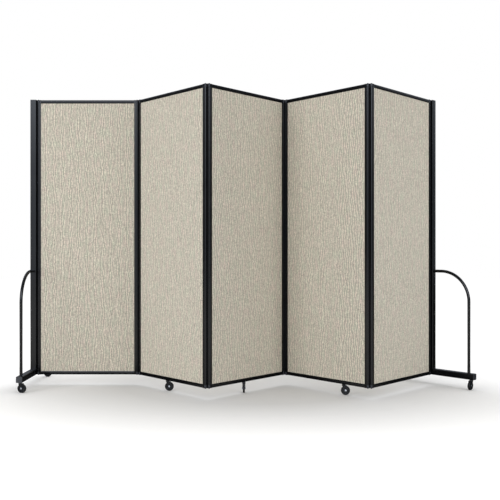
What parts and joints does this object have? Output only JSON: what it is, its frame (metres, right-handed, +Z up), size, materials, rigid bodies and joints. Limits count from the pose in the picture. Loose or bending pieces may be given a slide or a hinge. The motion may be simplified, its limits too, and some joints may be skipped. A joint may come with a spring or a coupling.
{
  "type": "accordion folding partition",
  "caption": "Free-standing folding partition of fabric-covered panels in black frames, joined by double-acting hinges, on hooped end frames with swivel casters.",
  "frame": {"origin": "on the floor, at the middle of the footprint in the standing position of the picture", "axes": "+X along the partition from the left end frame to the right one, +Y away from the viewer, +Z up"},
  "size_m": [2.391, 0.6504, 1.5595],
  "materials": {
    "frame_aluminium": "satin black anodised extrusion",
    "insert_aluminium": "plain mill finish",
    "core_board": "raw tackable fibreboard",
    "panel_fabric": "matt woven upholstery fabric, light beige",
    "hinge_plastic": "extruded and moulded black plastic",
    "pin_steel": "black oxide steel",
    "tube_steel": "satin black powder coat",
    "plug_plastic": "moulded black plastic",
    "caster_steel": "pressed steel, gloss black, bright axle",
    "wheel_rubber": "black moulded wheel"
  },
  "bodies": {
    "panel_3": {"panel_3_stiles": "frame_aluminium", "panel_3_rails": "frame_aluminium", "panel_3_inserts": "insert_aluminium", "panel_3_core": "core_board", "panel_3_fabric": "panel_fabric"},
    "hinge_2": {"hinge_2_link": "hinge_plastic", "hinge_2_pins": "pin_steel"},
    "panel_2": {"panel_2_stiles": "frame_aluminium", "panel_2_rails": "frame_aluminium", "panel_2_inserts": "insert_aluminium", "panel_2_core": "core_board", "panel_2_fabric": "panel_fabric"},
    "hinge_1": {"hinge_1_link": "hinge_plastic", "hinge_1_pins": "pin_steel"},
    "panel_1": {"panel_1_stiles": "frame_aluminium", "panel_1_rails": "frame_aluminium", "panel_1_inserts": "insert_aluminium", "panel_1_core": "core_board", "panel_1_fabric": "panel_fabric"},
    "left_end_frame": {"left_post": "tube_steel", "left_foot": "tube_steel", "left_hoops": "tube_steel", "left_plugs": "plug_plastic", "left_hinge_leaf": "hinge_plastic", "left_hinge_pins": "pin_steel"},
    "hinge_3": {"hinge_3_link": "hinge_plastic", "hinge_3_pins": "pin_steel"},
    "panel_4": {"panel_4_stiles": "frame_aluminium", "panel_4_rails": "frame_aluminium", "panel_4_inserts": "insert_aluminium", "panel_4_core": "core_board", "panel_4_fabric": "panel_fabric"},
    "hinge_4": {"hinge_4_link": "hinge_plastic", "hinge_4_pins": "pin_steel"},
    "panel_5": {"panel_5_stiles": "frame_aluminium", "panel_5_rails": "frame_aluminium", "panel_5_inserts": "insert_aluminium", "panel_5_core": "core_board", "panel_5_fabric": "panel_fabric"},
    "right_end_frame": {"right_post": "tube_steel", "right_foot": "tube_steel", "right_hoops": "tube_steel", "right_plugs": "plug_plastic", "right_hinge_leaf": "hinge_plastic", "right_hinge_pins": "pin_steel"},
    "left_front_caster_fork": {"left_front_fork": "caster_steel"},
    "left_front_caster_wheel": {"left_front_wheel": "wheel_rubber"},
    "left_rear_caster_fork": {"left_rear_fork": "caster_steel"},
    "left_rear_caster_wheel": {"left_rear_wheel": "wheel_rubber"},
    "right_front_caster_fork": {"right_front_fork": "caster_steel"},
    "right_front_caster_wheel": {"right_front_wheel": "wheel_rubber"},
    "right_rear_caster_fork": {"right_rear_fork": "caster_steel"},
    "right_rear_caster_wheel": {"right_rear_wheel": "wheel_rubber"},
    "panel_2_caster_fork": {"panel_2_fork": "caster_steel"},
    "panel_2_caster_wheel": {"panel_2_wheel": "wheel_rubber"},
    "panel_3_caster_fork": {"panel_3_fork": "caster_steel"},
    "panel_3_caster_wheel": {"panel_3_wheel": "wheel_rubber"},
    "panel_4_caster_fork": {"panel_4_fork": "caster_steel"},
    "panel_4_caster_wheel": {"panel_4_wheel": "wheel_rubber"}
  },
  "joints": [
    {"name": "hinge_2_turn", "type": "hinge", "parent": "panel_3", "child": "hinge_2", "pos_m": [-0.19676, -0.31886, 0.8055], "axis": [0, 0, -1], "range_deg": [-135, 45]},
    {"name": "panel_2_turn", "type": "hinge", "parent": "hinge_2", "child": "panel_2", "pos_m": [-0.21546, -0.31886, 0.8055], "axis": [0, 0, -1], "range_deg": [-135, 45]},
    {"name": "hinge_1_turn", "type": "hinge", "parent": "panel_2", "child": "hinge_1", "pos_m": [-0.59737, 0.06305, 0.8055], "axis": [0, 0, 1], "range_deg": [-112.5, 67.5]},
    {"name": "panel_1_turn", "type": "hinge", "parent": "hinge_1", "child": "panel_1", "pos_m": [-0.61464, 0.07021, 0.8055], "axis": [0, 0, 1], "range_deg": [-112.5, 67.5]},
    {"name": "left_end_turn", "type": "hinge", "parent": "panel_1", "child": "left_end_frame", "pos_m": [-1.15474, 0.07021, 0.8055], "axis": [0, 0, -1], "range_deg": [-90, 90]},
    {"name": "hinge_3_turn", "type": "hinge", "parent": "panel_3", "child": "hinge_3", "pos_m": [0.18515, 0.06305, 0.8055], "axis": [0, 0, -1], "range_deg": [-135, 45]},
    {"name": "panel_4_turn", "type": "hinge", "parent": "hinge_3", "child": "panel_4", "pos_m": [0.20385, 0.06305, 0.8055], "axis": [0, 0, -1], "range_deg": [-135, 45]},
    {"name": "hinge_4_turn", "type": "hinge", "parent": "panel_4", "child": "hinge_4", "pos_m": [0.58576, -0.31886, 0.8055], "axis": [0, 0, 1], "range_deg": [-135, 45]},
    {"name": "panel_5_turn", "type": "hinge", "parent": "hinge_4", "child": "panel_5", "pos_m": [0.60446, -0.31886, 0.8055], "axis": [0, 0, 1], "range_deg": [-135, 45]},
    {"name": "right_end_turn", "type": "hinge", "parent": "panel_5", "child": "right_end_frame", "pos_m": [0.98637, 0.06305, 0.8055], "axis": [0, 0, -1], "range_deg": [-90, 90]},
    {"name": "left_front_swivel", "type": "hinge", "parent": "left_end_frame", "child": "left_front_caster_fork", "pos_m": [-1.17962, -0.16379, 0.059], "axis": [0, 0, 1], "continuous": true},
    {"name": "left_front_roll", "type": "hinge", "parent": "left_front_caster_fork", "child": "left_front_caster_wheel", "pos_m": [-1.17075, -0.16536, 0.023], "axis": [0.1736, 0.9848, 0], "continuous": true},
    {"name": "left_rear_swivel", "type": "hinge", "parent": "left_end_frame", "child": "left_rear_caster_fork", "pos_m": [-1.17962, 0.30421, 0.059], "axis": [0, 0, 1], "continuous": true},
    {"name": "left_rear_roll", "type": "hinge", "parent": "left_rear_caster_fork", "child": "left_rear_caster_wheel", "pos_m": [-1.17062, 0.30421, 0.023], "axis": [0, 1, 0], "continuous": true},
    {"name": "right_front_swivel", "type": "hinge", "parent": "right_end_frame", "child": "right_front_caster_fork", "pos_m": [1.16942, -0.08482, 0.059], "axis": [0, 0, 1], "continuous": true},
    {"name": "right_front_roll", "type": "hinge", "parent": "right_front_caster_fork", "child": "right_front_caster_wheel", "pos_m": [1.16305, -0.09119, 0.023], "axis": [0.7071, -0.7071, 0], "continuous": true},
    {"name": "right_rear_swivel", "type": "hinge", "parent": "right_end_frame", "child": "right_rear_caster_fork", "pos_m": [0.83849, 0.2461, 0.059], "axis": [0, 0, 1], "continuous": true},
    {"name": "right_rear_roll", "type": "hinge", "parent": "right_rear_caster_fork", "child": "right_rear_caster_wheel", "pos_m": [0.83004, 0.24302, 0.023], "axis": [0.342, -0.9397, 0], "continuous": true},
    {"name": "panel_2_swivel", "type": "hinge", "parent": "panel_2", "child": "panel_2_caster_fork", "pos_m": [-0.42625, -0.10807, 0.059], "axis": [0, 0, 1], "continuous": true},
    {"name": "panel_2_roll", "type": "hinge", "parent": "panel_2_caster_fork", "child": "panel_2_caster_wheel", "pos_m": [-0.41725, -0.10807, 0.023], "axis": [0, 1, 0], "continuous": true},
    {"name": "panel_3_swivel", "type": "hinge", "parent": "panel_3", "child": "panel_3_caster_fork", "pos_m": [-0.02705, -0.14915, 0.059], "axis": [0, 0, 1], "continuous": true},
    {"name": "panel_3_roll", "type": "hinge", "parent": "panel_3_caster_fork", "child": "panel_3_caster_wheel", "pos_m": [-0.02705, -0.15815, 0.023], "axis": [1, 0, 0], "continuous": true},
    {"name": "panel_4_swivel", "type": "hinge", "parent": "panel_4", "child": "panel_4_caster_fork", "pos_m": [0.48104, -0.21413, 0.059], "axis": [0, 0, 1], "continuous": true},
    {"name": "panel_4_roll", "type": "hinge", "parent": "panel_4_caster_fork", "child": "panel_4_caster_wheel", "pos_m": [0.49004, -0.21413, 0.023], "axis": [0, 1, 0], "continuous": true}
  ]
}
